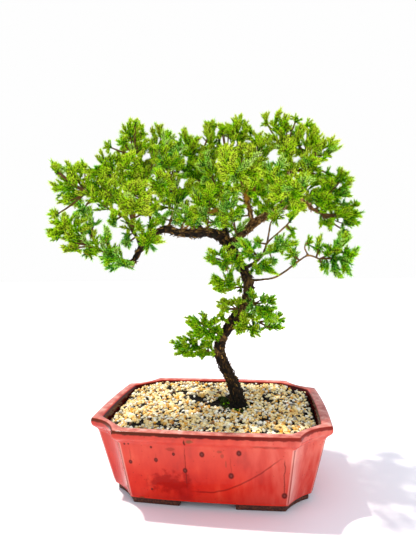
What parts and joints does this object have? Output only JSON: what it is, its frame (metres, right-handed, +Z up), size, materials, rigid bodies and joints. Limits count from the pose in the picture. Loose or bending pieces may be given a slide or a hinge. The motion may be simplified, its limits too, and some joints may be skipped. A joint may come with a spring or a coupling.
{
  "type": "potted bonsai tree",
  "caption": "Needle juniper bonsai with a curving, flaking trunk and spreading limbs, rooted in gravel-topped soil in an oblong glazed pot with cut corners.",
  "frame": {"origin": "middle of the underside of the pot's feet, on the surface that the pot stands on", "axes": "+Z up, +X along the pot's long side to the right, +Y towards the back of the tree"},
  "size_m": [0.2863, 0.156, 0.3464],
  "materials": {
    "glaze": "glossy red glaze with dark brown breaks",
    "clay": "bare fired brown clay",
    "plastic_mesh": "matte",
    "soil": "damp, dark and crumbly",
    "gravel": "mixed cream, tan, white and grey pebbles",
    "bark": "flaking bark",
    "needles": "living needles, lime at the tips"
  },
  "bodies": {
    "root": {"pot": "glaze", "foot_front_left": "clay", "foot_front_right": "clay", "foot_back_left": "clay", "foot_back_right": "clay", "drain_screen_left": "plastic_mesh", "drain_screen_right": "plastic_mesh", "soil": "soil", "gravel": "gravel", "wood": "bark", "spray_far_left": "needles", "spray_left_low": "needles", "spray_left_link": "needles", "spray_left_upper": "needles", "spray_left_inner": "needles", "spray_left_front": "needles", "spray_low_left_down": "needles", "spray_low_left_up": "needles", "spray_limb_end": "needles", "spray_crown_left": "needles", "spray_crown_right": "needles", "spray_crown_low": "needles", "spray_left_middle": "needles", "spray_left_middle_low": "needles", "spray_small_left": "needles", "spray_above_fork": "needles", "spray_fork_front": "needles", "spray_middle_left": "needles", "spray_middle_low": "needles", "spray_middle_rise": "needles", "spray_middle_right": "needles", "spray_middle_front": "needles", "spray_front": "needles", "spray_inner_right": "needles", "spray_inner_low": "needles", "spray_right_rise": "needles", "spray_right_outer": "needles", "spray_right_arm": "needles", "spray_right_front": "needles", "spray_right_end": "needles", "spray_right_hanging": "needles", "spray_right_inner": "needles", "spray_long_twig": "needles", "spray_under_fork": "needles", "spray_under_limb": "needles", "spray_under_twig": "needles", "spray_arch_end": "needles", "spray_trunk_left_high": "needles", "spray_trunk_left_mid": "needles", "spray_trunk_right": "needles", "spray_trunk_right_low": "needles", "spray_trunk_right_hanging": "needles", "spray_trunk_left_low": "needles", "spray_low_left_branch": "needles", "spray_lowest_branch": "needles", "spray_back_middle": "needles", "spray_back_left": "needles", "spray_back_far_left": "needles", "spray_back_right": "needles", "spray_back_far_right": "needles"}
  },
  "joints": []
}
